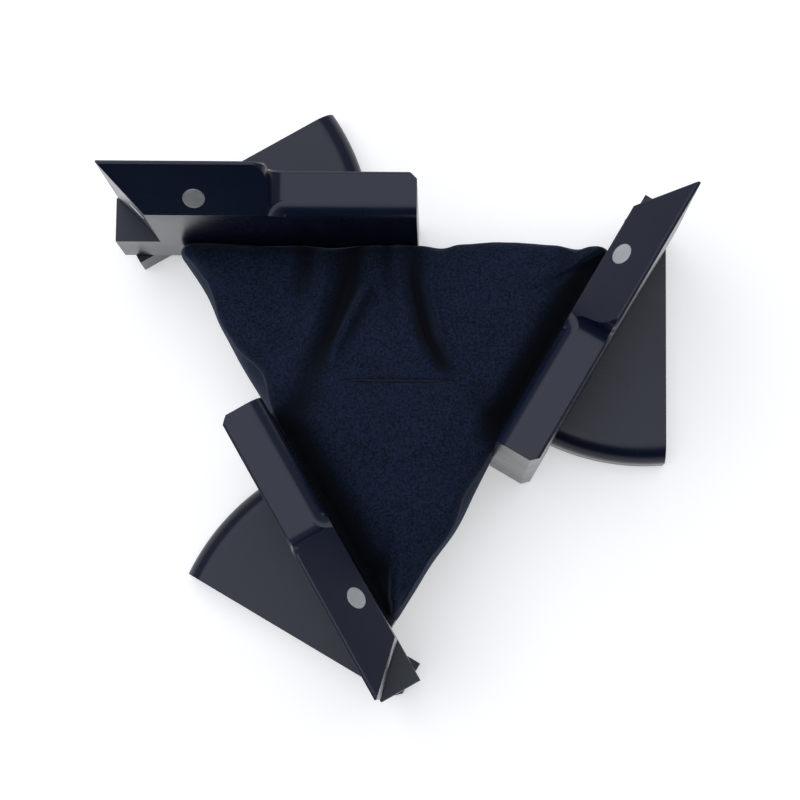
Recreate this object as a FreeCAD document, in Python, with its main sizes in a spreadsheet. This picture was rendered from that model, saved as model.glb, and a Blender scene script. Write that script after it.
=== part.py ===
"""Folding ring box: six hinged plates in a ring that fold from a flat triangle to a closed cube.

Three upright arms and three flat leaves alternate round the ring.  Each leaf turns on an upright pin
under the rear end of its own arm, and on a level pin beside the front foot of the arm before it.
Every piece of a unit is drawn in the unit's own frame, with the upright pin at the origin, the arm along
x and the outside of the box towards y, and is then placed by one turn about the box's axis of threefold
symmetry.  Last, the open box is moved level so that the middle of its plan stands over the origin on the
table.
"""

import FreeCAD, Part
import math
import os
import Sketcher
from FreeCAD import Placement, Rotation, Vector

doc = FreeCAD.newDocument("RingBox")
sheet = doc.addObject("Spreadsheet::Sheet", "Sizes")

# Driving sizes in millimetres, and shares where the name says so
SIZES = (
    ("box_side", 57.0, "side of the closed cube, and so the length and height of an arm"),
    ("plate", 8.0, "thickness of arms and leaves"),
    ("hinge_gap", 0.5, "space between two hinged plates, filled by a washer"),
    ("washer_play", 0.02, "play of a washer on each of its faces"),
    ("plate_gap", 0.3, "space between plates that pass each other"),
    ("rim_gap", 0.9, "curved rim of a leaf to the front end of the arm that closes round it"),
    ("outer_skin", 0.4, "how far an arm's outer faces stand proud of the mitres' true edges"),
    ("mitre_gap", 0.2, "how far each mitred face is held back from the true mitre"),
    ("blade_land", 0.5, "flat on the top edge of the blade, and its drop under the box's true edge"),
    ("step_reach", 30.6, "rear end of the arm to the step at the end of the blade"),
    ("step_round", 2.9, "radius at the top of the step"),
    ("step_fillet", 2.9, "radius at the foot of the step"),
    ("bar_play", 0.4, "how far the bar lies under the hub that closes onto it"),
    ("bar_round", 3.0, "radius along the inner top edge of the bar"),
    ("runout_lead", 0.5, "inner face of the bar to the axis of that round's run-out"),
    ("ledge_drop", 34.0, "tip of the arm down to the ledge on the hub"),
    ("corner_chamfer", 1.3, "chamfer on the upright corner of the arm's front and of the leaf's hub"),
    ("leaf_rim_round", 4.0, "radius round the top of the leaf's curved rim"),
    ("leaf_root_fillet", 2.6, "radius between the leaf's hub and its inner edge"),
    ("eye_length", 6.0, "length of the knuckle on the leaf"),
    ("pin_diameter", 3.0, "both hinge pins"),
    ("pin_play", 0.04, "radial play of a leaf on its pins"),
    ("pin_head_diameter", 5.6, "flat head of the upright pin"),
    ("pin_head_height", 1.4, "height of that head"),
    ("pin_head_play", 0.2, "space round and under the head"),
    ("hub_seat", 10.0, "length of the upright pin pressed into the arm"),
    ("foot_seat", 5.5, "length of the level pin pressed into the arm's foot"),
    ("washer_diameter", 6.6, "outside of the washers"),
    ("disc_diameter", 4.0, "magnet and keeper discs"),
    ("disc_thickness", 2.0, "magnet and keeper discs"),
    ("disc_play", 0.03, "space round and under a disc"),
    ("disc_reach", 17.4, "tip of the arm to the middle of a disc, along the mitred edge"),
    ("disc_across_share", 0.68, "place of a disc across its mitred face, from the outer edge"),
    ("cushion_bottom", 8.9, "table to the underside of the cushion"),
    ("cushion_shoulder", 23.2, "table to the top of the cushion's sides"),
    ("cushion_top", 26.8, "table to the crown"),
    ("cushion_roll", 3.2, "width of the roll between the cushion's sides and its top"),
    ("cushion_crown", 0.6, "rise of the crown over the roll"),
    ("crown_reach", 12.0, "width of that rise, in from the roll"),
    ("cushion_press", 0.4, "how far the fullest line, but for being pressed flat, would pass the arms"),
    ("cushion_gap", 0.3, "cushion to the arms where it is not pressed against them"),
    ("cushion_draw", 0.9, "how far the sides of the cushion draw in between its corners"),
    ("cushion_corner", 2.4, "radius of the cushion's corners"),
    ("panel_gap", 0.2, "space between two panels of the cushion along a fold"),
    ("slot_length", 21.0, "slot for the band of a ring"),
    ("slot_width", 2.2, "width of that slot"),
    ("slot_depth", 11.0, "depth of that slot"),
    ("slot_forward", 2.55, "middle of the slot in front of the box's axis"),
    ("slot_aside", 0.85, "middle of the slot to the right of the box's axis"),
    ("overrun", 2.0, "how far a cut runs past the face it starts from"),
)
for row, (alias, number, note) in enumerate(SIZES, start=1):
    sheet.set(f"A{row}", note)
    sheet.set(f"B{row}", str(number))
    sheet.setAlias(f"B{row}", alias)
doc.recompute()

UNITS = (1, 2, 3)
UNIT_TURN = {1: 0, 2: -120, 3: 120}
LOOSED_UNIT = 2
MITRE_ANGLE = 45
LEAF_TURN = 30
PANEL_ANGLE = 120
SIDE_SHARES = (0, 0.2, 0.4, 0.6, 0.8)
ROLL_TURNS = (0, 22.5, 45, 67.5, 90)
CORNER_FACETS = 6
SIDE_FACETS = 12


class Measure:
    """A length worked out from the sheet: its number and the expression that binds a feature to it."""

    def __init__(self, number, text):
        self.number = number
        self.text = text

    def __add__(self, other):
        return Measure(self.number + other.number, f"({self.text} + {other.text})")

    def __sub__(self, other):
        return Measure(self.number - other.number, f"({self.text} - {other.text})")

    def __neg__(self):
        return Measure(-self.number, f"(-1 * {self.text})")

    def __mul__(self, other):
        factor = other if isinstance(other, Measure) else Measure(other, str(other))
        return Measure(self.number * factor.number, f"({self.text} * {factor.text})")

    def __truediv__(self, count):
        return Measure(self.number / count, f"({self.text} / {count})")


def size(alias):
    """One driving size of the sheet."""
    return Measure(float(sheet.get(alias)), f"Sizes.{alias}")


# Sizes that several pieces share
SIDE = size("box_side")
PLATE = size("plate")
HALF = PLATE / 2
SKIN = size("outer_skin")
LINK = SIDE - PLATE
FLOOR = PLATE + size("hinge_gap")
CREST = SIDE - size("blade_land")
BAR = SIDE - PLATE - size("bar_play")
LEDGE = SIDE - size("ledge_drop")
STEP = size("step_reach") - HALF
OVER = size("overrun")
PIN = size("pin_diameter") / 2
PIN_BORE = PIN + size("pin_play")
HEAD = size("pin_head_diameter") / 2
HEAD_TOP = size("pin_head_play") + size("pin_head_height")
WASHER = size("washer_diameter") / 2
WASHER_PLAY = size("washer_play")
DISC = size("disc_diameter") / 2
DISC_BORE = DISC + size("disc_play")
DISC_DEPTH = size("disc_thickness") + size("disc_play")
DISC_ALONG = size("disc_reach") - HALF
DISC_IN = PLATE * size("disc_across_share") - HALF
MITRE_GAP = size("mitre_gap")
EYE_NEAR = HALF + size("hinge_gap")
EYE_FAR = EYE_NEAR + size("eye_length")
RIM = LINK - HALF - size("rim_gap")
LEAF_EDGE = HALF + size("plate_gap")
ARM_INSIDE = LINK.number / math.sqrt(3) - HALF.number


def unit_placement(unit, turn=0):
    """Place of a unit's frame: its upright pin stands at a corner of the triangle of pins.

    Args:
        unit: 1, 2 or 3.
        turn: further turn about that pin, in degrees.

    Returns:
        The Placement that takes the unit's frame to the box's frame.
    """
    corner = Placement(Vector(-LINK.number, LINK.number / math.sqrt(3), 0), Rotation(Vector(0, 0, 1), turn))
    return Placement(Vector(), Rotation(Vector(0, 0, 1), UNIT_TURN[unit])) * corner


def new_body(label):
    """A new PartDesign body with its label."""
    body = doc.addObject("PartDesign::Body", label)
    body.Label = label
    return body


def new_sketch(body, name, role, offset=(), turn=None):
    """A sketch on one of the body's own origin planes.

    Args:
        body: the body that owns the sketch.
        name: what the sketch draws.
        role: the origin plane, such as XY_Plane.
        offset: pairs of an axis letter of the sketch's frame and a Measure along it.
        turn: a Rotation of the sketch's frame, or None.

    Returns:
        The sketch.
    """
    sketch = body.newObject("Sketcher::SketchObject", f"{body.Label}_{name}")
    plane = next(feature for feature in body.Origin.OriginFeatures if feature.Role == role)
    sketch.AttachmentSupport = [(plane, "")]
    sketch.MapMode = "FlatFace"
    if turn:
        sketch.AttachmentOffset = Placement(Vector(), turn)
    for axis, measure in offset:
        sketch.setExpression(f"AttachmentOffset.Base.{axis}", measure.text)
    return sketch


def bind(sketch, kind, *places, measure):
    """Add a sized constraint and tie it to the sheet."""
    index = sketch.addConstraint(Sketcher.Constraint(kind, *places, measure.number))
    sketch.setExpression(f"Constraints[{index}]", measure.text)


def draw_polygon(sketch, corners):
    """Draw a closed outline through corners given as pairs of Measures."""
    points = [Vector(x.number, y.number, 0) for x, y in corners]
    count = len(points)
    for index in range(count):
        sketch.addGeometry(Part.LineSegment(points[index], points[(index + 1) % count]))
    for index in range(count):
        sketch.addConstraint(Sketcher.Constraint("Coincident", index, 2, (index + 1) % count, 1))
    for index, (x, y) in enumerate(corners):
        bind(sketch, "DistanceX", -1, 1, index, 1, measure=x)
        bind(sketch, "DistanceY", -1, 1, index, 1, measure=y)


def draw_circle(sketch, radius, centre=None):
    """Draw a circle about a pair of Measures, or about the sketch's origin."""
    middle = Vector(centre[0].number, centre[1].number, 0) if centre else Vector()
    sketch.addGeometry(Part.Circle(middle, Vector(0, 0, 1), radius.number))
    if centre:
        bind(sketch, "DistanceX", -1, 1, 0, 3, measure=centre[0])
        bind(sketch, "DistanceY", -1, 1, 0, 3, measure=centre[1])
    else:
        sketch.addConstraint(Sketcher.Constraint("Coincident", 0, 3, -1, 1))
    bind(sketch, "Radius", 0, measure=radius)


def add_pad(body, sketch, length, midplane=False, reverse=False):
    """Pad a sketch by a Measure."""
    pad = body.newObject("PartDesign::Pad", f"{sketch.Name}_pad")
    pad.Profile = sketch
    pad.Midplane = midplane
    pad.Reversed = reverse
    pad.setExpression("Length", length.text)
    doc.recompute()
    return pad


def add_pocket(body, sketch, length=None, midplane=False, reverse=False):
    """Cut a sketch out of its body, by a Measure or right through, and check that it cut something."""
    before = body.Tip.Shape.Volume
    pocket = body.newObject("PartDesign::Pocket", f"{sketch.Name}_pocket")
    pocket.Profile = sketch
    pocket.Midplane = midplane
    pocket.Reversed = reverse
    if length:
        pocket.setExpression("Length", length.text)
    else:
        pocket.Type = "ThroughAll"
    doc.recompute()
    if not pocket.Shape.Volume < before:
        raise RuntimeError(f"{pocket.Name} cuts nothing")
    return pocket


def edges_near(shape, *places):
    """Names of the edges whose middle lies nearest to each of the given points."""
    def miss(edge, place):
        middle = edge.valueAt((edge.FirstParameter + edge.LastParameter) / 2)
        return middle.distanceToPoint(place)
    names = []
    for place in places:
        gaps = [miss(edge, place) for edge in shape.Edges]
        names.append(f"Edge{gaps.index(min(gaps)) + 1}")
    return names


def add_dress(body, kind, label, radius, *places):
    """Fillet or chamfer the edges of a body's tip that lie nearest to the given points."""
    base = body.Tip
    dress = body.newObject(f"PartDesign::{kind}", f"{body.Label}_{label}")
    dress.Base = (base, edges_near(base.Shape, *places))
    dress.setExpression("Radius" if kind == "Fillet" else "Size", radius.text)
    doc.recompute()
    return dress


def make_arm(unit):
    """Arm: upright plate with a bevelled blade, a lower bar, a mitred rear end, a hub and a foot."""
    body = new_body(f"arm_{unit}")
    profile = new_sketch(body, "profile", "XZ_Plane", offset=(("z", HALF),))
    rear, front, foot = -HALF - SKIN, LINK + HALF + SKIN, LINK - HALF
    zero = PLATE - PLATE
    draw_polygon(profile, (
        (rear, FLOOR), (rear, CREST), (STEP, CREST), (STEP, BAR),
        (front, BAR), (front, zero), (foot, zero), (foot, FLOOR),
    ))
    add_pad(body, profile, PLATE + SKIN, reverse=True)
    add_dress(body, "Fillet", "step_round", size("step_round"), Vector(STEP.number, 0, CREST.number))
    add_dress(body, "Fillet", "step_fillet", size("step_fillet"), Vector(STEP.number, 0, BAR.number))
    outside = HALF.number + SKIN.number
    add_dress(body, "Chamfer", "outer_edge", SKIN, Vector(STEP.number / 2, outside, CREST.number))
    add_dress(body, "Chamfer", "front_chamfer", size("corner_chamfer"),
              Vector(front.number, outside, BAR.number / 2))

    # The bevel falls from the outer top edge of the blade to its inner face
    bevel = new_sketch(body, "bevel", "YZ_Plane")
    high, low = SIDE + OVER - MITRE_GAP, SIDE - PLATE - OVER - MITRE_GAP
    draw_polygon(bevel, ((HALF + OVER, high), (-HALF - OVER, low), (-HALF - OVER, high)))
    add_pocket(body, bevel, midplane=True)
    round_bar(body)

    # The upright mitre runs from the blunted tip down to the ledge on the hub
    mitre = new_sketch(body, "mitre", "XY_Plane", offset=(("z", LEDGE),))
    tip = MITRE_GAP - HALF
    draw_polygon(mitre, (
        (tip, HALF + OVER), (tip, HALF), (HALF + OVER + MITRE_GAP, -HALF - OVER),
        (-HALF - OVER, -HALF - OVER), (-HALF - OVER, HALF + OVER),
    ))
    add_pocket(body, mitre, reverse=True)

    upright = new_sketch(body, "upright_bore", "XY_Plane")
    draw_circle(upright, PIN)
    add_pocket(body, upright, FLOOR + size("hub_seat"), reverse=True)
    level = new_sketch(body, "level_bore", "XZ_Plane", offset=(("z", HALF),))
    draw_circle(level, PIN, (LINK, HALF))
    add_pocket(body, level, size("foot_seat"))

    magnet_seat = new_sketch(body, "magnet_seat", "XZ_Plane", turn=Rotation(Vector(1, 0, 0), -MITRE_ANGLE),
                             offset=(("x", DISC_ALONG), ("y", bevel_height()), ("z", DISC_IN)))
    draw_circle(magnet_seat, DISC_BORE)
    add_pocket(body, magnet_seat, DISC_DEPTH)
    keeper_height = SIDE - size("disc_reach")
    keeper_seat = new_sketch(body, "keeper_seat", "XZ_Plane", turn=Rotation(Vector(0, 1, 0), -MITRE_ANGLE),
                             offset=(("x", DISC_IN + MITRE_GAP), ("y", keeper_height), ("z", DISC_IN)))
    draw_circle(keeper_seat, DISC_BORE)
    add_pocket(body, keeper_seat, DISC_DEPTH)
    body.Placement = unit_placement(unit)
    return body


def round_bar(body):
    """Round the inner top edge of an arm's bar, with a curved run-out at the foot of the step."""
    radius, lead = size("bar_round"), size("runout_lead")
    start = STEP + size("step_fillet") + lead
    section = new_sketch(body, "bar_section", "YZ_Plane", offset=(("x", -HALF - lead), ("z", start)))
    zero, side, high = PLATE - PLATE, lead + radius, BAR + OVER
    corners = ((zero, high), (side, high), (side, BAR), (lead, BAR - radius), (zero, BAR - radius))
    points = [Vector(x.number, y.number, 0) for x, y in corners]
    circle = Part.Circle(Vector(side.number, BAR.number - radius.number, 0), Vector(0, 0, 1), radius.number)
    for curve in (
        Part.LineSegment(points[0], points[1]), Part.LineSegment(points[1], points[2]),
        Part.ArcOfCircle(circle, math.pi / 2, math.pi),
        Part.LineSegment(points[3], points[4]), Part.LineSegment(points[4], points[0]),
    ):
        section.addGeometry(curve)
    for index in range(len(corners)):
        section.addConstraint(Sketcher.Constraint("Coincident", index, 2, (index + 1) % len(corners), 1))
    for index, (x, y) in enumerate(corners):
        bind(section, "DistanceX", -1, 1, index, 1, measure=x)
        bind(section, "DistanceY", -1, 1, index, 1, measure=y)
    bind(section, "Radius", 2, measure=radius)
    add_pocket(body, section, reverse=True)
    before = body.Tip.Shape.Volume
    runout = body.newObject("PartDesign::Groove", f"{section.Name}_runout")
    runout.Profile = section
    runout.ReferenceAxis = (section, ["V_Axis"])
    doc.recompute()
    if not runout.Shape.Volume < before:
        raise RuntimeError(f"{runout.Name} cuts nothing")


def bevel_height():
    """Height of the bevel where the middle of a disc lies."""
    return SIDE - MITRE_GAP - PLATE * size("disc_across_share")


def make_leaf(unit):
    """Leaf: quarter disc about the upright pin, with a square hub and a knuckle on the level pin."""
    body = new_body(f"leaf_{unit}")
    outline = new_sketch(body, "outline", "XY_Plane")
    half, edge, rim = HALF.number, LEAF_EDGE.number, RIM.number
    root = size("leaf_root_fillet").number
    out_end = Vector(math.sqrt(rim ** 2 - half ** 2), half, 0)
    in_end = Vector(edge, -math.sqrt(rim ** 2 - edge ** 2), 0)
    rim_circle = Part.Circle(Vector(), Vector(0, 0, 1), rim)
    root_circle = Part.Circle(Vector(edge - root, -half - root, 0), Vector(0, 0, 1), root)
    for curve in (
        Part.LineSegment(Vector(-half, half, 0), out_end),
        Part.ArcOfCircle(rim_circle, math.atan2(in_end.y, in_end.x), math.atan2(out_end.y, out_end.x)),
        Part.LineSegment(in_end, Vector(edge, -half - root, 0)),
        Part.ArcOfCircle(root_circle, 0, math.pi / 2),
        Part.LineSegment(Vector(edge - root, -half, 0), Vector(-half, -half, 0)),
        Part.LineSegment(Vector(-half, -half, 0), Vector(-half, half, 0)),
    ):
        outline.addGeometry(curve)
    for rule in (
        ("Horizontal", 0), ("Vertical", 2), ("Horizontal", 4), ("Vertical", 5),
        ("Coincident", 5, 2, 0, 1), ("Coincident", 0, 2, 1, 2), ("Coincident", 1, 1, 2, 1),
        ("Tangent", 2, 2, 3, 1), ("Tangent", 3, 2, 4, 1), ("Coincident", 4, 2, 5, 1),
        ("Coincident", 1, 3, -1, 1),
    ):
        outline.addConstraint(Sketcher.Constraint(*rule))
    bind(outline, "Radius", 1, measure=RIM)
    bind(outline, "Radius", 3, measure=size("leaf_root_fillet"))
    bind(outline, "DistanceX", -1, 1, 0, 1, measure=-HALF)
    bind(outline, "DistanceY", -1, 1, 0, 1, measure=HALF)
    bind(outline, "DistanceX", -1, 1, 2, 2, measure=LEAF_EDGE)
    bind(outline, "DistanceY", -1, 1, 4, 1, measure=-HALF)
    add_pad(body, outline, PLATE)
    diagonal = rim * math.sqrt(0.5)
    add_dress(body, "Fillet", "rim_round", size("leaf_rim_round"), Vector(diagonal, -diagonal, PLATE.number))
    add_dress(body, "Chamfer", "hub_chamfer", size("corner_chamfer"), Vector(-half, half, half))

    # The knuckle turns on the level pin, beside the foot of the arm before this one
    neck = new_sketch(body, "neck", "XY_Plane")
    neck_root = RIM - PLATE
    draw_polygon(neck, ((EYE_NEAR, -LINK), (EYE_FAR, -LINK), (EYE_FAR, -neck_root), (EYE_NEAR, -neck_root)))
    add_pad(body, neck, PLATE)
    knuckle = new_sketch(body, "knuckle", "YZ_Plane", offset=(("z", EYE_NEAR),))
    draw_circle(knuckle, HALF, (-LINK, HALF))
    add_pad(body, knuckle, size("eye_length"))
    eye = new_sketch(body, "eye", "YZ_Plane")
    draw_circle(eye, PIN_BORE, (-LINK, HALF))
    add_pocket(body, eye, midplane=True)

    bore = new_sketch(body, "bore", "XY_Plane")
    draw_circle(bore, PIN_BORE)
    add_pocket(body, bore, midplane=True)
    recess = new_sketch(body, "head_recess", "XY_Plane")
    draw_circle(recess, HEAD + size("pin_head_play"))
    add_pocket(body, recess, HEAD_TOP, reverse=True)
    body.Placement = unit_placement(unit, LEAF_TURN)
    return body


def make_upright_pin(unit):
    """Upright pin: pressed into the arm's hub, its flat head holds the leaf up against the washer."""
    body = new_body(f"upright_pin_{unit}")
    section = new_sketch(body, "section", "XZ_Plane")
    zero = PLATE - PLATE
    low, top = size("pin_head_play"), FLOOR + size("hub_seat")
    draw_polygon(section, (
        (zero, low), (HEAD, low), (HEAD, HEAD_TOP), (PIN, HEAD_TOP), (PIN, top), (zero, top),
    ))
    turned = body.newObject("PartDesign::Revolution", f"{section.Name}_turned")
    turned.Profile = section
    turned.ReferenceAxis = (section, ["V_Axis"])
    doc.recompute()
    body.Placement = unit_placement(unit)
    return body


def make_level_pin(unit):
    """Level pin: pressed into the arm's foot, it carries the knuckle of the next leaf.

    The pin of the loosed pivot ends flush with the foot.
    """
    body = new_body(f"level_pin_{unit}")
    section = new_sketch(body, "section", "XZ_Plane", offset=(("z", HALF - size("foot_seat")),))
    draw_circle(section, PIN, (LINK, HALF))
    length = size("foot_seat")
    if unit != LOOSED_UNIT:
        length = length + size("hinge_gap") + size("eye_length")
    add_pad(body, section, length)
    body.Placement = unit_placement(unit)
    return body


def bound_solid(kind, label, placement, **measures):
    """A primitive whose sizes are tied to the sheet."""
    solid = doc.addObject(f"Part::{kind}", label)
    solid.Label = label
    for name, measure in measures.items():
        solid.setExpression(name, measure.text)
    solid.Placement = placement
    return solid


def make_washer(label, placement):
    """Washer: a ring that fills the gap between two hinged plates, less its play."""
    thickness = size("hinge_gap") - WASHER_PLAY - WASHER_PLAY
    ring = bound_solid("Cylinder", f"{label}_ring", placement, Radius=WASHER, Height=thickness)
    hole = bound_solid("Cylinder", f"{label}_hole", placement, Radius=PIN_BORE, Height=thickness)
    washer = doc.addObject("Part::Cut", label)
    washer.Label = label
    washer.Base = ring
    washer.Tool = hole
    return washer


def make_discs(unit):
    """Magnet in the bevel of the blade and keeper in the upright mitre, both flush."""
    thickness = size("disc_thickness")
    frame = unit_placement(unit)
    inward = Rotation(Vector(0, 0, 1), Vector(0, -1, 1))
    rearward = Rotation(Vector(0, 0, 1), Vector(-1, -1, 0))
    bevel_middle = Vector(DISC_ALONG.number, -DISC_IN.number, bevel_height().number)
    mitre_height = SIDE - size("disc_reach")
    mitre_middle = Vector(DISC_IN.number + MITRE_GAP.number, -DISC_IN.number, mitre_height.number)
    for name, middle, turn in (("magnet", bevel_middle, inward), ("keeper", mitre_middle, rearward)):
        back = middle - turn.multVec(Vector(0, 0, 1)) * thickness.number
        placement = frame * Placement(back, turn)
        bound_solid("Cylinder", f"{name}_{unit}", placement, Radius=DISC, Height=thickness)


def cushion_outline(inset, height):
    """Outline of the cushion at a height: three sides that draw in and three round corners.

    A corner turns through equal angles, and a side bows in by the draw times 4 t (1 - t) along its length t,
    in step with its length, so that the facets of two outlines lie parallel.

    Args:
        inset: distance of the corners' side lines inside the arms.
        height: height over the table.

    Returns:
        A closed wire of short straight edges.
    """
    inside = ARM_INSIDE - inset
    radius = size("cushion_corner").number
    draw = size("cushion_draw").number * (inside - radius) / (ARM_INSIDE - radius)
    corners = []
    for unit in UNITS:
        towards = math.radians(150 + UNIT_TURN[unit])
        centre = Vector(math.cos(towards), math.sin(towards), 0) * (2 * (inside - radius))
        turn_step = 2 * math.pi / 3 / CORNER_FACETS
        turns = [towards + math.pi / 3 - turn_step * step for step in range(CORNER_FACETS + 1)]
        corners.append([centre + Vector(math.cos(turn), math.sin(turn), 0) * radius for turn in turns])
    points = []
    for index, corner in enumerate(corners):
        start, end = corner[-1], corners[(index + 1) % len(corners)][0]
        middle = (start + end) / 2
        inward = -middle.normalize()
        points += corner
        for step in range(1, SIDE_FACETS):
            along = step / SIDE_FACETS
            points.append(start + (end - start) * along + inward * (draw * 4 * along * (1 - along)))
    lifted = [point + Vector(0, 0, height) for point in points]
    return Part.makePolygon(lifted + lifted[:1])


def cushion_stages():
    """Insets and heights of the cushion's outlines, from its underside up to the crown."""
    gap, draw, press = (size(f"cushion_{name}").number for name in ("gap", "draw", "press"))
    bottom, shoulder, top = (size(f"cushion_{level}").number for level in ("bottom", "shoulder", "top"))
    spread, crown = size("cushion_roll").number, size("cushion_crown").number
    stages = [
        (gap + draw - (gap + draw + press) * math.sin(math.pi * share), bottom + (shoulder - bottom) * share)
        for share in SIDE_SHARES
    ]
    for turn in ROLL_TURNS:
        angle = math.radians(turn)
        rise = (top - crown - shoulder) * math.sin(angle)
        stages.append((gap + draw + spread * (1 - math.cos(angle)), shoulder + rise))
    stages.append((gap + draw + spread + size("crown_reach").number, top))
    return stages


def flat_faced(loft):
    """The same solid with plane faces in place of the loft's ruled ones, which are flat already."""
    faces = []
    for facet in loft.Faces:
        corners = [vertex.Point for vertex in facet.OuterWire.OrderedVertexes]
        faces.append(Part.Face(Part.makePolygon(corners + corners[:1])))
    shell = Part.makeShell(faces)
    shell.sewShape()
    return Part.Solid(shell)


def make_cushion():
    """Cushion: crowned pad with a slot, cut along three folds into a panel for each arm."""
    loft = Part.makeLoft([cushion_outline(inset, height) for inset, height in cushion_stages()], True, True)
    pad = flat_faced(loft)
    corners = [Vector(0, 2 * ARM_INSIDE, 0)]
    corners += [Rotation(Vector(0, 0, 1), turn).multVec(corners[0]) for turn in (PANEL_ANGLE, -PANEL_ANGLE)]
    upside = [Vector(-corner.x, -corner.y, 0) for corner in corners]
    walls = Part.Face(Part.makePolygon(upside + upside[:1])).extrude(Vector(0, 0, SIDE.number))
    pad = pad.common(walls)
    length, width, depth = (size(name).number for name in ("slot_length", "slot_width", "slot_depth"))
    aside, forward = size("slot_aside").number, size("slot_forward").number
    top, over = size("cushion_top").number, OVER.number
    corner = Vector(aside - length / 2, -forward - width / 2, top - depth)
    pad = pad.cut(Part.makeBox(length, width, depth + over, corner))
    reach = SIDE.number
    for unit in UNITS:
        wedge = Part.makeCylinder(reach, top + over, Vector(), Vector(0, 0, 1), PANEL_ANGLE)
        wedge.Placement = Placement(Vector(), Rotation(Vector(0, 0, 1), 90 + UNIT_TURN[unit]))
        towards = math.radians(150 + UNIT_TURN[unit])
        wedge.translate(Vector(math.cos(towards), math.sin(towards), 0) * size("panel_gap").number)
        panel = doc.addObject("Part::Feature", f"cushion_panel_{unit}")
        panel.Label = f"cushion_panel_{unit}"
        panel.Shape = pad.common(wedge)


for unit in UNITS:
    make_arm(unit)
    make_leaf(unit)
    make_upright_pin(unit)
    make_level_pin(unit)
    frame = unit_placement(unit)
    upright_start = Vector(0, 0, PLATE.number + WASHER_PLAY.number)
    make_washer(f"upright_washer_{unit}", frame * Placement(upright_start, Rotation()))
    if unit != LOOSED_UNIT:
        level_start = Vector(LINK.number, -HALF.number - WASHER_PLAY.number, HALF.number)
        inwards = Rotation(Vector(0, 0, 1), Vector(0, -1, 0))
        make_washer(f"level_washer_{unit}", frame * Placement(level_start, inwards))
    make_discs(unit)
make_cushion()
doc.recompute()

KINDS = ("arm", "leaf", "upright_pin", "level_pin", "upright_washer", "level_washer", "magnet", "keeper",
         "cushion_panel")
labels = [f"{kind}_{unit}" for kind in KINDS for unit in UNITS]
labels.remove(f"level_washer_{LOOSED_UNIT}")
nodes = [doc.getObjectsByLabel(label)[0] for label in labels]
plan = FreeCAD.BoundBox()
for node in nodes:
    plan.add(node.Shape.optimalBoundingBox(False, False))
centring = Placement(Vector(-plan.Center.x, -plan.Center.y, 0), Rotation())
for node in nodes:
    node.Placement = centring * node.Placement
doc.recompute()
for item in doc.Objects:
    if "Invalid" in item.State or "Error" in item.State:
        raise RuntimeError(f"{item.Label} failed: {item.State}")
for node in nodes:
    if node.Shape.isNull() or not node.Shape.isValid() or not node.Shape.Solids:
        raise RuntimeError(f"{node.Label} has no sound solid")
os.makedirs("parts", exist_ok=True)
for node in nodes:
    node.Shape.exportStep(f"parts/{node.Label}.step")
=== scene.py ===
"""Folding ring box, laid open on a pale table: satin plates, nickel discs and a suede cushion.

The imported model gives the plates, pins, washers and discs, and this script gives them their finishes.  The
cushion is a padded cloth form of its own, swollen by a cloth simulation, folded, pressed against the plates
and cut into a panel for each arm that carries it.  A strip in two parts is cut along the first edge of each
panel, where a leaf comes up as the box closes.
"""

import logging
import math
from abc import ABC, abstractmethod
from collections.abc import Mapping
from dataclasses import dataclass
from enum import Enum

import bmesh
import bpy
import numpy as np
from mathutils import Matrix, Vector


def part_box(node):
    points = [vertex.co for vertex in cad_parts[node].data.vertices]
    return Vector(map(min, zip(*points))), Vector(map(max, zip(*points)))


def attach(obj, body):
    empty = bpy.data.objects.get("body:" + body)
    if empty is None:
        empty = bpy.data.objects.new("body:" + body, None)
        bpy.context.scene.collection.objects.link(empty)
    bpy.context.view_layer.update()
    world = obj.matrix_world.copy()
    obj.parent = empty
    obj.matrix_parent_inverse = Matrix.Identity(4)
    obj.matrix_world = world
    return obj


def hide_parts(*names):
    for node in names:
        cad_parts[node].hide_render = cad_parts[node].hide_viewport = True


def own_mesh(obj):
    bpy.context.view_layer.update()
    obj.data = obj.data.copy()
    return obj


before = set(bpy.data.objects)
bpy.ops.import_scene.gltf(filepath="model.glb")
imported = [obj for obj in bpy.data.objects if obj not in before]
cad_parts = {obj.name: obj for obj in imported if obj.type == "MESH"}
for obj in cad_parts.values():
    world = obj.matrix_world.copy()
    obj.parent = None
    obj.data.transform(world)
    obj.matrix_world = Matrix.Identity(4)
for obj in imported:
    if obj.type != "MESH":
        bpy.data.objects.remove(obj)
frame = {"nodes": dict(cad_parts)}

MM = 0.001
# Attribute of the cloth: painted shade in its valleys and where it is tucked beside the plates, from 0 to 1
FOLD_SHADE = "painted_fold_shade"
# Bearings of the cushion's sides, rear, left and right, and of the corner after each, in degrees
SIDES = (90, 210, 330)
CORNERS = (150, 270, 30)
LOG = logging.getLogger("ring_box")


def linear(code: str) -> tuple[float, float, float, float]:
    """Linear RGBA of an sRGB hex colour."""
    srgb = np.array([int(code[at:at + 2], 16) for at in (1, 3, 5)]) / 255
    rgb = np.where(srgb <= 0.04045, srgb / 12.92, ((srgb + 0.055) / 1.055) ** 2.4)
    return (*map(float, rgb), 1.0)


def per_mm(feature: float) -> float:
    """Texture scale at which one feature of the pattern measures that many millimetres."""
    return 1 / (feature * MM)


def add_node(tree: bpy.types.NodeTree, kind: str, inputs: Mapping | None = None,
             **settings: object) -> bpy.types.Node:
    """Add a node with its settings, values and links.

    Args:
        tree: the node tree that gets the node.
        kind: the node's type.
        inputs: a value, or an output socket to link, for each input by its name or number.
        settings: properties of the node.

    Returns:
        The new node.
    """
    node = tree.nodes.new(kind)
    for name, value in settings.items():
        setattr(node, name, value)
    for key, value in (inputs or {}).items():
        if isinstance(value, bpy.types.NodeSocket):
            tree.links.new(value, node.inputs[key])
        else:
            node.inputs[key].default_value = value
    return node


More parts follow.
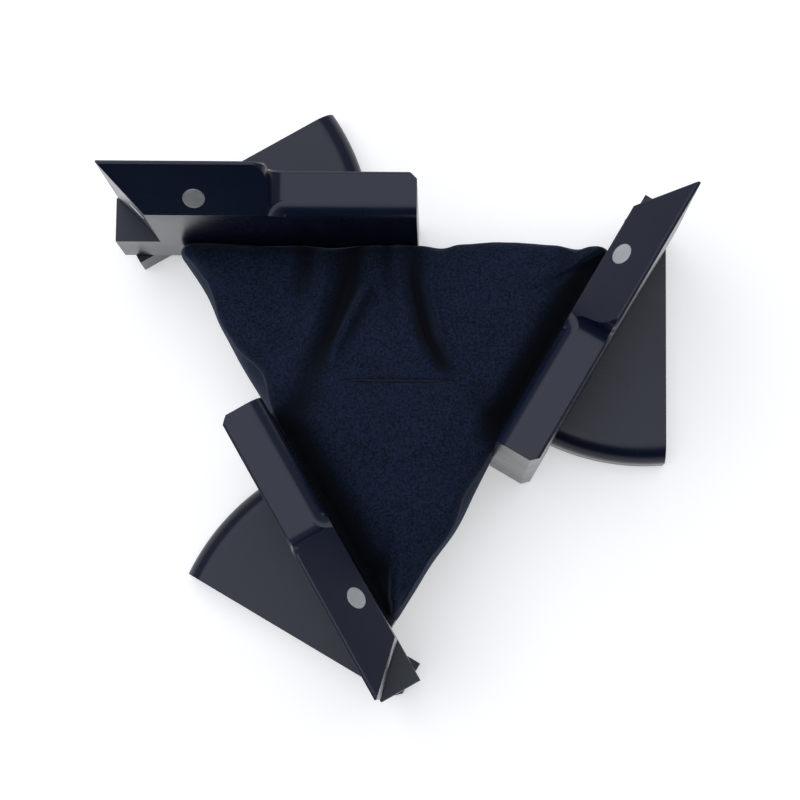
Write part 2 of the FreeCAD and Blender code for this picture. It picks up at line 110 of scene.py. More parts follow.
@dataclass(frozen=True)
class Finish(ABC):
    """A surface of the object: what it is made of and how it was made."""

    name: str

    def material(self) -> bpy.types.Material:
        """Make the material and let the finish fill its node tree."""
        material = bpy.data.materials.new(self.name)
        material.use_nodes = True
        tree = material.node_tree
        tree.nodes.clear()
        shader = add_node(tree, "ShaderNodeBsdfPrincipled")
        add_node(tree, "ShaderNodeOutputMaterial", {"Surface": shader.outputs[0]})
        self.dress(tree, shader)
        return material

    @abstractmethod
    def dress(self, tree: bpy.types.NodeTree, shader: bpy.types.Node) -> None:
        """Set and link the shader's inputs."""

    @staticmethod
    def link(tree: bpy.types.NodeTree, shader: bpy.types.Node, colour: bpy.types.Node, gloss: bpy.types.Node,
             bump: bpy.types.Node) -> None:
        """Link a colour mix, a gloss range and a relief to the shader.

        Args:
            tree: node tree of the material.
            shader: its shader.
            colour: node whose third output is the colour.
            gloss: node whose first output is the roughness.
            bump: node whose first output is the normal.
        """
        for key, socket in (("Base Color", colour.outputs[2]), ("Roughness", gloss.outputs[0]),
                            ("Normal", bump.outputs[0])):
            tree.links.new(socket, shader.inputs[key])


@dataclass(frozen=True)
class SatinLacquer(Finish):
    """ABS plates, moulded, rubbed down and sprayed with a satin lacquer.

    To the eye: an almost black navy with wide soft reflections, a faint orange peel in them, and a thin paler
    line painted along the edges, partly lacquer rubbed by handling and partly a painted edge highlight.
    """

    colour: str = "#10172a"
    deep: str = "#0d1222"
    rubbed_and_highlit: str = "#2a3348"
    peel_mm: float = 0.9
    mist_mm: float = 0.22
    cloud_mm: float = 17.0
    edge_mm: float = 0.22
    relief_mm: float = 0.05
    sheen: tuple[float, float] = (0.22, 0.29)
    ior: float = 1.48
    reflection: float = 0.27

    def dress(self, tree: bpy.types.NodeTree, shader: bpy.types.Node) -> None:
        """Cloudy colour, uneven gloss, orange peel, and softened edges with a paler line of rubbed lacquer
        and painted highlight.

        Args:
            tree: node tree of the material.
            shader: its shader.
        """
        place = add_node(tree, "ShaderNodeTexCoord").outputs["Object"]
        cloud = add_node(tree, "ShaderNodeTexNoise", {"Vector": place, "Scale": per_mm(self.cloud_mm),
                                                      "Detail": 3.0})
        peel = add_node(tree, "ShaderNodeTexNoise", {"Vector": place, "Scale": per_mm(self.peel_mm),
                                                     "Detail": 1.0})
        # The spray's mist is finer than a pixel, so it is drawn several times as coarse as it is
        mist = add_node(tree, "ShaderNodeTexNoise", {"Vector": place, "Scale": per_mm(self.mist_mm),
                                                     "Detail": 2.0})
        ground = add_node(tree, "ShaderNodeMix", {0: cloud.outputs[0], 6: linear(self.deep),
                                                  7: linear(self.colour)},
                          data_type="RGBA")
        rounded = add_node(tree, "ShaderNodeBevel", {"Radius": self.edge_mm * MM}, samples=6)
        flat = add_node(tree, "ShaderNodeNewGeometry")
        turn = add_node(tree, "ShaderNodeVectorMath", {0: rounded.outputs[0], 1: flat.outputs["Normal"]},
                        operation="DOT_PRODUCT")
        # Paler colour painted along the edges: partly rubbed lacquer, partly a painted edge highlight
        edge = add_node(tree, "ShaderNodeMapRange", {"Value": turn.outputs["Value"], "From Min": 0.995,
                                                     "From Max": 0.8, "To Max": 0.75})
        worn_and_highlit = add_node(tree, "ShaderNodeMath", {0: edge.outputs[0], 1: cloud.outputs[0]},
                        operation="MULTIPLY")
        colour = add_node(tree, "ShaderNodeMix", {0: worn_and_highlit.outputs[0], 6: ground.outputs[2],
                                                  7: linear(self.rubbed_and_highlit)},
                          data_type="RGBA")
        gloss = add_node(tree, "ShaderNodeMapRange", {"Value": cloud.outputs[0], "From Min": 0.3,
                                                      "From Max": 0.7,
                                                      "To Min": self.sheen[0], "To Max": self.sheen[1]})
        grain = add_node(tree, "ShaderNodeMath", {0: mist.outputs[0], 1: 0.6, 2: peel.outputs[0]},
                         operation="MULTIPLY_ADD")
        bump = add_node(tree, "ShaderNodeBump", {"Strength": 0.05, "Distance": self.relief_mm * MM,
                                                 "Height": grain.outputs[0], "Normal": rounded.outputs[0]})
        shader.inputs["IOR"].default_value = self.ior
        shader.inputs["Specular IOR Level"].default_value = self.reflection
        self.link(tree, shader, colour, gloss, bump)


@dataclass(frozen=True)
class FineMetal(Finish):
    """Small metal pieces: nickel-plated magnets, tumbled, and steel pins, turned.

    To the eye: a bright grey that takes on whatever it faces, dulled by fine scratches and a faint stain.
    """

    colour: str
    stain: str
    sheen: tuple[float, float]
    scratch_mm: tuple[float, float, float]
    stain_mm: float = 2.5
    edge_mm: float = 0.15
    relief_mm: float = 0.02

    def dress(self, tree: bpy.types.NodeTree, shader: bpy.types.Node) -> None:
        """Long fine scratches in the gloss and the relief, and a stain in the colour.

        Args:
            tree: node tree of the material.
            shader: its shader.
        """
        place = add_node(tree, "ShaderNodeTexCoord").outputs["Object"]
        stretch = add_node(tree, "ShaderNodeMapping",
                           {"Vector": place, "Scale": tuple(per_mm(side) for side in self.scratch_mm)})
        scratch = add_node(tree, "ShaderNodeTexNoise", {"Vector": stretch.outputs[0], "Scale": 1.0,
                                                        "Detail": 3.0})
        patch = add_node(tree, "ShaderNodeTexNoise", {"Vector": place, "Scale": per_mm(self.stain_mm),
                                                      "Detail": 4.0})
        colour = add_node(tree, "ShaderNodeMix", {0: patch.outputs[0], 6: linear(self.stain),
                                                  7: linear(self.colour)},
                          data_type="RGBA")
        gloss = add_node(tree, "ShaderNodeMapRange", {"Value": scratch.outputs[0], "From Min": 0.3,
                                                      "From Max": 0.7,
                                                      "To Min": self.sheen[0], "To Max": self.sheen[1]})
        rounded = add_node(tree, "ShaderNodeBevel", {"Radius": self.edge_mm * MM}, samples=6)
        bump = add_node(tree, "ShaderNodeBump", {"Strength": 0.12, "Distance": self.relief_mm * MM,
                                                 "Height": scratch.outputs[0], "Normal": rounded.outputs[0]})
        shader.inputs["Metallic"].default_value = 1.0
        self.link(tree, shader, colour, gloss, bump)


@dataclass(frozen=True)
class PunchedNylon(Finish):
    """Nylon washers, punched from dyed sheet.

    To the eye: a waxy near-black with a soft sheen and a mottle from the rolled sheet.
    """

    colour: str = "#14161b"
    pale: str = "#22252c"
    mottle_mm: float = 0.8
    relief_mm: float = 0.03
    sheen: tuple[float, float] = (0.38, 0.55)
    ior: float = 1.53

    def dress(self, tree: bpy.types.NodeTree, shader: bpy.types.Node) -> None:
        """Mottled colour and gloss with a slight relief.

        Args:
            tree: node tree of the material.
            shader: its shader.
        """
        place = add_node(tree, "ShaderNodeTexCoord").outputs["Object"]
        mottle = add_node(tree, "ShaderNodeTexNoise", {"Vector": place, "Scale": per_mm(self.mottle_mm),
                                                       "Detail": 3.0})
        colour = add_node(tree, "ShaderNodeMix", {0: mottle.outputs[0], 6: linear(self.colour),
                                                  7: linear(self.pale)},
                          data_type="RGBA")
        gloss = add_node(tree, "ShaderNodeMapRange", {"Value": mottle.outputs[0], "To Min": self.sheen[0],
                                                      "To Max": self.sheen[1]})
        bump = add_node(tree, "ShaderNodeBump", {"Strength": 0.1, "Distance": self.relief_mm * MM,
                                                 "Height": mottle.outputs[0]})
        shader.inputs["IOR"].default_value = self.ior
        self.link(tree, shader, colour, gloss, bump)


@dataclass(frozen=True)
class BrushedSuede(Finish):
    """Microfibre suede, knitted and brushed to a short nap.

    To the eye: matt dark navy, speckled by tufts of nap, clouded where the nap was stroked another way, and
    paler at a grazing view, which draws a line along every rolled edge.
    """

    dark: str = "#050a15"
    pale: str = "#172238"
    painted_fold_shade_colour: str = "#03060e"
    tuft_mm: float = 0.44
    hair_mm: float = 0.16
    stroke_mm: float = 7.0
    relief_mm: float = 0.12
    matt: tuple[float, float] = (0.82, 1.0)
    reflection: float = 0.15
    sheen: float = 0.26
    sheen_spread: float = 0.36
    sheen_tint: str = "#9aa8c4"

    def dress(self, tree: bpy.types.NodeTree, shader: bpy.types.Node) -> None:
        """Tufts and strokes mix two colours, tufts and hair give the relief, and a sheen the grazing light.

        Args:
            tree: node tree of the material.
            shader: its shader.
        """
        place = add_node(tree, "ShaderNodeTexCoord").outputs["Object"]
        tuft = add_node(tree, "ShaderNodeTexNoise", {"Vector": place, "Scale": per_mm(self.tuft_mm),
                                                     "Detail": 2.0, "Roughness": 0.6})
        # A hair of the nap is a fiftieth of this, under a pixel, so it is drawn as coarse as it needs to show
        hair = add_node(tree, "ShaderNodeTexNoise", {"Vector": place, "Scale": per_mm(self.hair_mm),
                                                     "Detail": 1.0})
        stroke = add_node(tree, "ShaderNodeTexNoise", {"Vector": place, "Scale": per_mm(self.stroke_mm),
                                                       "Detail": 3.0, "Distortion": 0.6})
        nap = add_node(tree, "ShaderNodeMath", {0: hair.outputs[0], 1: 0.5, 2: tuft.outputs[0]},
                       operation="MULTIPLY_ADD")
        speckle = add_node(tree, "ShaderNodeMapRange", {"Value": nap.outputs[0], "From Min": 0.5,
                                                        "From Max": 1.0,
                                                        "To Min": -0.6, "To Max": 1.1}, clamp=False)
        shade = add_node(tree, "ShaderNodeMath", {0: stroke.outputs[0], 1: 0.55, 2: speckle.outputs[0]},
                         operation="MULTIPLY_ADD", use_clamp=True)
        brushed = add_node(tree, "ShaderNodeMix", {0: shade.outputs[0], 6: linear(self.dark),
                                                   7: linear(self.pale)},
                           data_type="RGBA")
        # Painted shade: the cloth is darkened in its valleys and where it is tucked beside the plates
        pressed = add_node(tree, "ShaderNodeAttribute", attribute_name=FOLD_SHADE)
        colour = add_node(tree, "ShaderNodeMix", {0: pressed.outputs["Fac"], 6: brushed.outputs[2],
                                                  7: linear(self.painted_fold_shade_colour)}, data_type="RGBA")
        bump = add_node(tree, "ShaderNodeBump", {"Strength": 0.55, "Distance": self.relief_mm * MM,
                                                 "Height": nap.outputs[0]})
        gloss = add_node(tree, "ShaderNodeMapRange", {"Value": tuft.outputs[0], "To Min": self.matt[0],
                                                      "To Max": self.matt[1]})
        shader.inputs["Specular IOR Level"].default_value = self.reflection
        shader.inputs["Sheen Weight"].default_value = self.sheen
        shader.inputs["Sheen Roughness"].default_value = self.sheen_spread
        shader.inputs["Sheen Tint"].default_value = linear(self.sheen_tint)
        self.link(tree, shader, colour, gloss, bump)


@dataclass(frozen=True)
class TablePaper(Finish):
    """The table: white paper, matt, that fades to plain white and keeps the shadow."""

    colour: str = "#e4e3e0"
    lift: float = 0.4

    def dress(self, tree: bpy.types.NodeTree, shader: bpy.types.Node) -> None:
        """Matt white, lifted by a little light of its own for what looks at it or mirrors it.

        Args:
            tree: node tree of the material.
            shader: its shader.
        """
        path = add_node(tree, "ShaderNodeLightPath")
        seen = add_node(tree, "ShaderNodeMath", {0: path.outputs["Is Camera Ray"],
                                                 1: path.outputs["Is Glossy Ray"]},
                        operation="MAXIMUM")
        shown = add_node(tree, "ShaderNodeMath", {0: seen.outputs[0], 1: path.outputs["Is Transmission Ray"]},
                         operation="MAXIMUM")
        lift = add_node(tree, "ShaderNodeMath", {0: shown.outputs[0], 1: self.lift}, operation="MULTIPLY")
        shader.inputs["Base Color"].default_value = linear(self.colour)
        shader.inputs["Roughness"].default_value = 1.0
        shader.inputs["Specular IOR Level"].default_value = 0.0
        shader.inputs["Emission Color"].default_value = (1.0, 1.0, 1.0, 1.0)
        tree.links.new(lift.outputs[0], shader.inputs["Emission Strength"])


class Unit(Enum):
    """The three like units of the box, each with the turn of its frame about the box's axis in degrees."""

    FIRST = (1, 0)
    SECOND = (2, -120)
    THIRD = (3, 120)

    @property
    def number(self) -> int:
        """Number of the unit in the names of its pieces."""
        return self.value[0]

    @property
    def turn(self) -> float:
        """Turn of the unit about the box's axis, in radians."""
        return math.radians(self.value[1])


class Kind(Enum):
    """Kinds of rigid piece, by the start of their names."""

    ARM = "arm"
    LEAF = "leaf"
    UPRIGHT_PIN = "upright_pin"
    LEVEL_PIN = "level_pin"
    UPRIGHT_WASHER = "upright_washer"
    LEVEL_WASHER = "level_washer"
    MAGNET = "magnet"
    KEEPER = "keeper"


@dataclass
class RigidPieces:
    """Plates, pins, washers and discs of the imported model, which only need their finishes."""

    nodes: Mapping[str, bpy.types.Object]

    def finishes(self) -> dict[Kind, bpy.types.Material]:
        """Material of each kind of piece."""
        plates = SatinLacquer("moulded_abs_satin_lacquer").material()
        discs = FineMetal("nickel_plate_tumbled", "#c6c9ca", "#a9acad", (0.36, 0.52),
                          (0.5, 0.5, 0.12)).material()
        pins = FineMetal("steel_turned", "#a3a5a7", "#83868a", (0.22, 0.4), (0.9, 0.9, 0.1)).material()
        washers = PunchedNylon("nylon_punched").material()
        return {
            Kind.ARM: plates, Kind.LEAF: plates, Kind.UPRIGHT_PIN: pins, Kind.LEVEL_PIN: pins,
            Kind.UPRIGHT_WASHER: washers, Kind.LEVEL_WASHER: washers, Kind.MAGNET: discs, Kind.KEEPER: discs,
        }

    def dress(self) -> None:
        """Put each kind's material into the slots of its pieces."""
        for kind, material in self.finishes().items():
            for name, node in self.nodes.items():
                if name.rpartition("_")[0] == kind.value:
                    for slot in node.material_slots:
                        slot.material = material
                    LOG.info("%s: %s", name, material.name)


@dataclass(frozen=True)
class Crease:
    """A fold of the cloth: points along it in plan with the height there, in millimetres, and its half width.

    A positive height is a ridge and a negative one a valley.
    """

    points: tuple[tuple[float, float, float], ...]
    width: float

    def lift(self, plan: np.ndarray) -> np.ndarray:
        """Height that the fold adds to points in plan.

        The height at the nearest point of the line, times a bell curve of the distance to the line over the
        half width.

        Args:
            plan: points as an array that ends in x and y.

        Returns:
            Heights, one for each point.
        """
        line = np.array(self.points)
        nearest = np.full(plan.shape[:-1], np.inf)
        height = np.zeros(plan.shape[:-1])
        for start, end in zip(line[:-1], line[1:]):
            along = end[:2] - start[:2]
            share = np.clip((plan - start[:2]) @ along / (along @ along), 0, 1)
            distance = np.linalg.norm(plan - start[:2] - share[..., None] * along, axis=-1)
            closer = distance < nearest
            nearest = np.where(closer, distance, nearest)
            height = np.where(closer, start[2] + share * (end[2] - start[2]), height)
        return height * np.exp(-(nearest / self.width) ** 2)


@dataclass
class Cushion:
    """Padded cushion of suede over foam, in millimetres about the box's axis.

    Its surface is one closed sheet, rows by columns: the rows run from the bottom of the slot over the lip,
    the top, the roll at the edge and the side to the middle of the underside, and the columns run round it.
    A wave or a swell has its place along a side, its half width and its height; a tuck its drop and its
    reach; and a ripple its height, its length over two pi and its phase.
    """

    axis: np.ndarray
    inside: float = 24.0
    corner: float = 1.7
    draw: float = 0.1
    bulge: float = 0.7
    bottom: float = 8.95
    shoulder: float = 23.3
    top: float = 26.6
    crown: float = 0.5
    roll: float = 2.9
    foot: float = 1.4
    plate_face: float = 24.28
    free_start: float = -4.4
    slot_middle: tuple[float, float] = (0.85, -2.55)
    slot_half: tuple[float, float] = (10.4, 0.28)
    slot_depth: float = 9.0
    slot_lip: float = 0.75
    slot_dip: float = 0.55
    tucks: tuple[tuple[float, float], ...] = ((1.4, 1.4), (4.6, 3.6), (4.6, 3.6))
    tuck_run: float = 6.0
    dip_reach: float = 2.6
    ripples: tuple[tuple[float, float, float], ...] = ((0.2, 1.05, 0.0), (0.16, 0.62, 1.3))
    ripple_reach: float = 3.0
    ripple_shift: float = 11.0
    fold_shade_depth: float = 2.2
    side_inset: float = 0.5
    slot_taper: float = 0.8
    slot_floor_share: float = 0.25
    pole_share: float = 0.06
    lip_share: float = 0.3
    lip_rise: float = 6.0
    edge_share: float = 0.35
    side_columns: int = 92
    corner_columns: int = 8
    wall_rows: int = 7
    lip_rows: int = 6
    top_rows: int = 46
    roll_rows: int = 10
    side_rows: int = 13
    foot_rows: int = 6
    under_rows: int = 8
    swell_cap: float = 0.8
    swell_frames: int = 20
    cloth_quality: int = 6
    cloth_mass: float = 0.002
    cloth_stretch: float = 8.0
    cloth_bend: float = 0.05
    pressure: float = 6.0
    keep: float = 0.3
    strip: float = 4.35
    strip_split: float = 14.0
    strip_keep: float = 0.02
    core_turn: float = 30.0
    core_point: tuple[float, float] = (20.0, 8.5)
    waves: tuple[tuple[tuple[float, float, float], ...], ...] = (
        ((-8.7, 2.2, -0.85), (-20.5, 8.0, 0.75), (-34.6, 2.0, -1.4), (12.0, 3.5, -0.9), (25.0, 6.0, -0.5)),
        ((-11.7, 4.5, -2.5), (-24.1, 3.2, 0.6), (-36.0, 8.0, -1.5)),
        ((-13.6, 4.0, -1.1), (-22.5, 4.0, 0.4)),
    )
    swells: tuple[tuple[tuple[float, float, float], ...], ...] = (
        (),
        ((-13.0, 6.0, 0.7), (-31.0, 6.0, -0.4)),
        ((-17.0, 8.0, 1.1), (-33.0, 5.0, 0.2)),
    )
    creases: tuple[Crease, ...] = (
        Crease(((-7.8, 24.0, -1.9), (-8.6, 16.0, -2.9), (-11.2, 8.0, -2.7), (-14.3, 1.0, -1.8),
                (-18.0, -6.0, -0.8)), 2.2),
        Crease(((-12.6, 24.0, 1.3), (-13.3, 15.6, 1.4), (-15.2, 8.0, 0.8), (-17.5, 2.0, 0.0)), 1.2),
        Crease(((-16.6, 24.0, -2.0), (-16.8, 19.0, -1.5), (-18.0, 13.0, -0.4)), 1.8),
        Crease(((-4.4, 17.5, 0.0), (-5.2, 15.1, 1.6), (-8.9, 8.0, 1.5), (-11.9, 1.6, 0.7),
                (-12.6, -1.0, 0.0)), 0.75),
        Crease(((-3.4, 15.5, 0.0), (-3.9, 13.5, -1.1), (-6.9, 8.2, -1.3), (-9.8, 2.2, -0.7),
                (-10.6, 0.0, 0.0)), 0.9),
        Crease(((1.3, 24.0, 1.0), (0.6, 19.6, 1.3), (1.6, 13.0, 0.7), (2.2, 9.0, 0.0)), 1.0),
        Crease(((-1.4, 24.0, -1.4), (-1.0, 18.0, -1.0), (-0.4, 12.0, 0.0)), 1.0),
        Crease(((3.9, 24.0, -1.2), (3.9, 16.0, -2.6), (6.4, 6.2, -3.2), (9.5, 0.5, -2.0), (11.6, -2.5, 0.0)),
               1.45),
        Crease(((6.2, 17.5, 0.2), (7.2, 14.0, 1.2), (9.0, 6.3, 1.2), (11.5, 0.5, 0.5), (13.0, -2.0, 0.0)),
               0.8),
        Crease(((-11.0, -3.2, 0.0), (-14.5, -5.0, -0.8), (-19.5, -8.0, -1.2), (-21.5, -9.5, -0.6)), 2.4),
        Crease(((12.6, -3.2, 0.0), (16.0, -6.0, -0.7), (20.5, -11.5, -1.1)), 2.2),
        Crease(((0.6, -44.5, 0.8), (1.6, -37.0, 0.8), (2.6, -31.0, 0.0)), 0.9),
        Crease(((-2.2, -42.0, -0.8), (-1.2, -35.0, -0.8), (-0.8, -28.0, 0.0)), 1.2),
        Crease(((34.6, 23.5, -1.2), (31.5, 18.0, -0.6), (28.0, 13.0, 0.0)), 1.4),
        Crease(((-37.0, 20.5, 0.6), (-31.0, 16.0, 0.4), (-26.0, 13.0, 0.0)), 1.4),
    )

    def side_frames(self) -> tuple[np.ndarray, np.ndarray]:
        """Outward and along directions of the three sides: the rear, the left and the right one."""
        angles = np.radians(SIDES)
        outward = np.stack([np.cos(angles), np.sin(angles)], -1)
        return outward, np.stack([-outward[:, 1], outward[:, 0]], -1)

    def outline(self) -> tuple[np.ndarray, np.ndarray]:
        """Plan of the cushion's fullest line, and the waves of its cloth.

        A side lies at the inside distance less the draw times one minus the square of its share from the
        middle to the corner, plus its swells; a corner is an arc; swells and waves are sums of bell curves
        along a side, gone at the corners.

        Returns:
            Points, and the steps that the waves add to them, both as columns by two.
        """
        outward, along = self.side_frames()
        half = math.sqrt(3) * (self.inside - self.corner)
        place = np.linspace(-half, half, self.side_columns, endpoint=False)
        share = (place / half) ** 2

        def bells(table: tuple[tuple[tuple[float, float, float], ...], ...]) -> np.ndarray:
            """Sum of each side's bell curves along it, gone at the corners."""
            sums = [sum((height * np.exp(-((place - at) / width) ** 2) for at, width, height in bumps),
                        np.zeros_like(place)) for bumps in table]
            return np.array(sums) * (1 - share ** 4)

        distance = self.inside - self.draw * (1 - share) + bells(self.swells)
        sides = distance[..., None] * outward[:, None] + place[None, :, None] * along[:, None]
        bend = np.linspace(0, 2 * np.pi / 3, self.corner_columns, endpoint=False)
        turns = np.radians(SIDES)[:, None] + bend
        middle = np.radians(CORNERS)
        centres = 2 * (self.inside - self.corner) * np.stack([np.cos(middle), np.sin(middle)], -1)
        corners = centres[:, None] + self.corner * np.stack([np.cos(turns), np.sin(turns)], -1)
        steps = bells(self.waves)[..., None] * outward[:, None]
        still = np.zeros_like(corners)
        points = np.concatenate([sides, corners], 1).reshape(-1, 2)
        return points, np.concatenate([steps, still], 1).reshape(-1, 2)

    def surface(self) -> tuple[np.ndarray, np.ndarray]:
        """Rows of the closed sheet before it is swollen and folded.

        The slot's walls are ellipses that widen upwards and turn over a round lip.  The top runs straight
        from the lip to the roll, less a crown that falls with the cube of the way out.  The roll is a quarter
        of an ellipse.  The side bulges by half a sine, and ends in a round foot and a flat underside.  A line
        inset from the outline is the outline shrunk about the axis, as for any triangle about its middle.

        Returns:
            Points as rows by columns by three, and each row's share of the folds.
        """
        base, steps = self.outline()
        middle = np.array(self.slot_middle)
        bearing = np.arctan2(*(base - middle).T[::-1])
        ring = np.stack([np.cos(bearing), np.sin(bearing)], -1)
        wall = np.linspace(0, 1, self.wall_rows)
        lip = np.linspace(0, np.pi / 2, self.lip_rows)[1:]
        reach = np.linspace(0, 1, self.top_rows)[1:]
        over = np.linspace(0, np.pi / 2, self.roll_rows)[1:]
        down = np.linspace(0, 1, self.side_rows)[1:]
        under = np.linspace(0, np.pi / 2, self.foot_rows)[1:]
        inward = np.linspace(1, self.pole_share, self.under_rows)[1:]

        def inset(amount: np.ndarray, wave: np.ndarray) -> np.ndarray:
            """Outlines inset by each amount, with that share of the waves."""
            return (base + wave[:, None, None] * steps) * (1 - amount / self.inside)[:, None, None]

        def slot(length: np.ndarray, width: np.ndarray) -> np.ndarray:
            """Ellipses about the slot's middle with each half length and half width."""
            return middle + ring * np.stack([length, width], -1)[:, None]

        length, width = self.slot_half
        floor = self.slot_floor_share
        walls = slot(length - self.slot_taper * (1 - wall), width * (floor + (1 - floor) * wall))
        lips = slot(length + self.slot_lip * (1 - np.cos(lip)), width + self.slot_lip * (1 - np.cos(lip)))
        edge = inset(np.array([self.roll]), np.ones(1))[0]
        tops = lips[-1] + (edge - lips[-1]) * reach[:, None, None]
        rolls = inset(self.roll * (1 - np.sin(over)), np.ones_like(over))
        sides = inset(self.side_inset * down ** 2 - self.bulge * np.sin(np.pi * down), (1 - down) ** 2)
        feet = inset(self.side_inset + self.foot * (1 - np.cos(under)), np.zeros_like(under))
        beneath = feet[-1] * inward[:, None, None]
        brow = self.top - self.crown
        heights = np.concatenate([
            self.top - self.slot_depth + (self.slot_depth - self.slot_lip) * wall,
            self.top - self.slot_lip * (1 - np.sin(lip)),
            self.top - self.crown * reach ** 3,
            self.shoulder + (brow - self.shoulder) * np.cos(over),
            self.shoulder + (self.bottom + self.foot - self.shoulder) * down,
            self.bottom + self.foot * (1 - np.sin(under)),
            np.full_like(inward, self.bottom),
        ])
        folds = np.concatenate([
            np.zeros_like(wall),
            self.lip_share * np.sin(lip),
            np.clip(reach * self.lip_rise + self.lip_share, 0, 1),
            self.edge_share + (1 - self.edge_share) * np.cos(over),
            self.edge_share * (1 - down) ** 2,
            np.zeros_like(under),
            np.zeros_like(inward),
        ])
        plan = np.concatenate([walls, lips, tops, rolls, sides, feet, beneath])
        level = np.broadcast_to(heights[:, None, None], plan.shape[:2] + (1,))
        return np.concatenate([plan, level], -1), folds

    def sheet(self, points: np.ndarray) -> bpy.types.Object:
        """Mesh the rows as one closed sheet, with a fan to a pole at the slot's bottom and one underneath.

        Args:
            points: the sheet as rows by columns by three, in millimetres about the axis.

        Returns:
            The object, whose last two vertices are the poles.
        """
        rows, columns = points.shape[:2]
        here = np.arange(columns)
        after = np.roll(here, -1)
        start = (np.arange(rows - 1) * columns)[:, None]
        quads = np.stack([start + here, start + here + columns, start + after + columns, start + after], -1)
        last = (rows - 1) * columns
        low, high = rows * columns + 1, rows * columns
        slot_fan = np.stack([np.full(columns, high), here, after], -1)
        under_fan = np.stack([np.full(columns, low), last + after, last + here], -1)
        poles = points[[0, -1]].mean(axis=1)
        vertices = np.concatenate([points.reshape(-1, 3), poles]) * MM
        mesh = bpy.data.meshes.new("cushion_sheet")
        mesh.from_pydata((vertices + self.axis).tolist(), [],
                         quads.reshape(-1, 4).tolist() + slot_fan.tolist() + under_fan.tolist())
        mesh.update()
        whole = bpy.data.objects.new("cushion_sheet", mesh)
        bpy.context.scene.collection.objects.link(whole)
        return whole

    def read(self, mesh: bpy.types.Mesh) -> np.ndarray:
        """Vertices of a mesh, in millimetres about the axis."""
        flat = np.empty(len(mesh.vertices) * 3)
        mesh.vertices.foreach_get("co", flat)
        return (flat.reshape(-1, 3) - self.axis) / MM

    def write(self, mesh: bpy.types.Mesh, vertices: np.ndarray) -> None:
        """Put vertices given in millimetres about the axis back into a mesh."""
        mesh.vertices.foreach_set("co", (vertices * MM + self.axis).ravel())
        mesh.update()

    def swell(self, whole: bpy.types.Object, held: np.ndarray) -> None:
        """Swell the top and the edges by a cloth simulation with pressure inside, each point up to the cap.

        Args:
            whole: the closed sheet.
            held: numbers of the vertices that stay where they are, glued to the foam and in the slot.
        """
        scene = bpy.context.scene
        group = whole.vertex_groups.new(name="held")
        group.add(held.tolist(), 1.0, "REPLACE")
        cloth = whole.modifiers.new("cloth", "CLOTH")
        cloth.settings.quality = self.cloth_quality
        cloth.settings.mass = self.cloth_mass
        cloth.settings.tension_stiffness = self.cloth_stretch
        cloth.settings.compression_stiffness = self.cloth_stretch
        cloth.settings.bending_stiffness = self.cloth_bend
        cloth.settings.use_pressure = True
        cloth.settings.uniform_pressure_force = self.pressure
        cloth.settings.vertex_group_mass = group.name
        cloth.settings.effector_weights.gravity = 0.0
        cloth.collision_settings.use_collision = False
        cloth.point_cache.frame_start, cloth.point_cache.frame_end = 1, self.swell_frames
        for step in range(1, self.swell_frames + 1):
            scene.frame_set(step)
        before = self.read(whole.data)
        after = self.read(whole.evaluated_get(bpy.context.evaluated_depsgraph_get()).data)
        whole.modifiers.remove(cloth)
        scene.frame_set(1)
        move = after - before
        length = np.linalg.norm(move, axis=-1, keepdims=True)
        LOG.info("cloth moved %.2f mm at most before its cap", length.max())
        self.write(whole.data, before + move / np.maximum(1, length / self.swell_cap))

    def press(self, vertices: np.ndarray) -> np.ndarray:
        """Press flat against the plates what passes their inner faces, along the sides that plates cover.

        Args:
            vertices: points in millimetres about the axis.

        Returns:
            The pressed points.
        """
        outward, along = self.side_frames()
        past = np.maximum(vertices[:, :2] @ outward.T - self.plate_face, 0)
        covered = vertices[:, :2] @ along.T > self.free_start
        pressed = vertices.copy()
        pressed[:, :2] -= (past * covered) @ outward
        return pressed

    def fold(self, vertices: np.ndarray, shares: np.ndarray) -> tuple[np.ndarray, np.ndarray]:
        """Add the folds, the dip towards the slot, the tuck beside the plates and the ripple of the edges.

        Heights are the sum of the folds, less the dip times a bell curve of the distance to the slot, less
        the tuck times a bell curve of the depth inside a side that a plate covers, plus ripples of two
        wavelengths that die away inwards from the edge.

        Args:
            vertices: points in millimetres about the axis.
            shares: how far each point follows the folds.

        Returns:
            The folded points, and the painted shade of each, from 0 to 1, deeper in tucks and valleys.
        """
        plan = vertices[:, :2]
        lift = sum(crease.lift(plan) for crease in self.creases)
        middle = np.array(self.slot_middle)
        beside = np.abs(plan - middle) - np.array([self.slot_half[0], 0])
        away = np.linalg.norm(np.maximum(beside, 0), axis=-1)
        outward, along = self.side_frames()
        distance = plan @ outward.T
        nearest = distance.argmax(-1)
        place = np.take_along_axis(plan @ along.T, nearest[:, None], -1)[:, 0]
        depth = np.maximum(self.inside - distance.max(-1), 0)
        phase = place + self.ripple_shift * nearest
        waves = sum(height * np.sin(phase / length + start) for height, length, start in self.ripples)
        ripple = waves * np.exp(-depth / self.ripple_reach)
        drop, reach = np.array(self.tucks)[nearest].T
        covered = np.clip((place - self.free_start) / self.tuck_run, 0, 1)
        tucked = drop * covered * np.exp(-(depth / reach) ** 2)
        folded = vertices.copy()
        dip = self.slot_dip * np.exp(-(away / self.dip_reach) ** 2)
        folded[:, 2] += shares * (lift + ripple - tucked - dip)
        # Painted shade: grows with the tuck beside a plate and the depth of a valley, and fades on a ridge
        return folded, np.clip((tucked - lift) / self.fold_shade_depth, 0, 1)

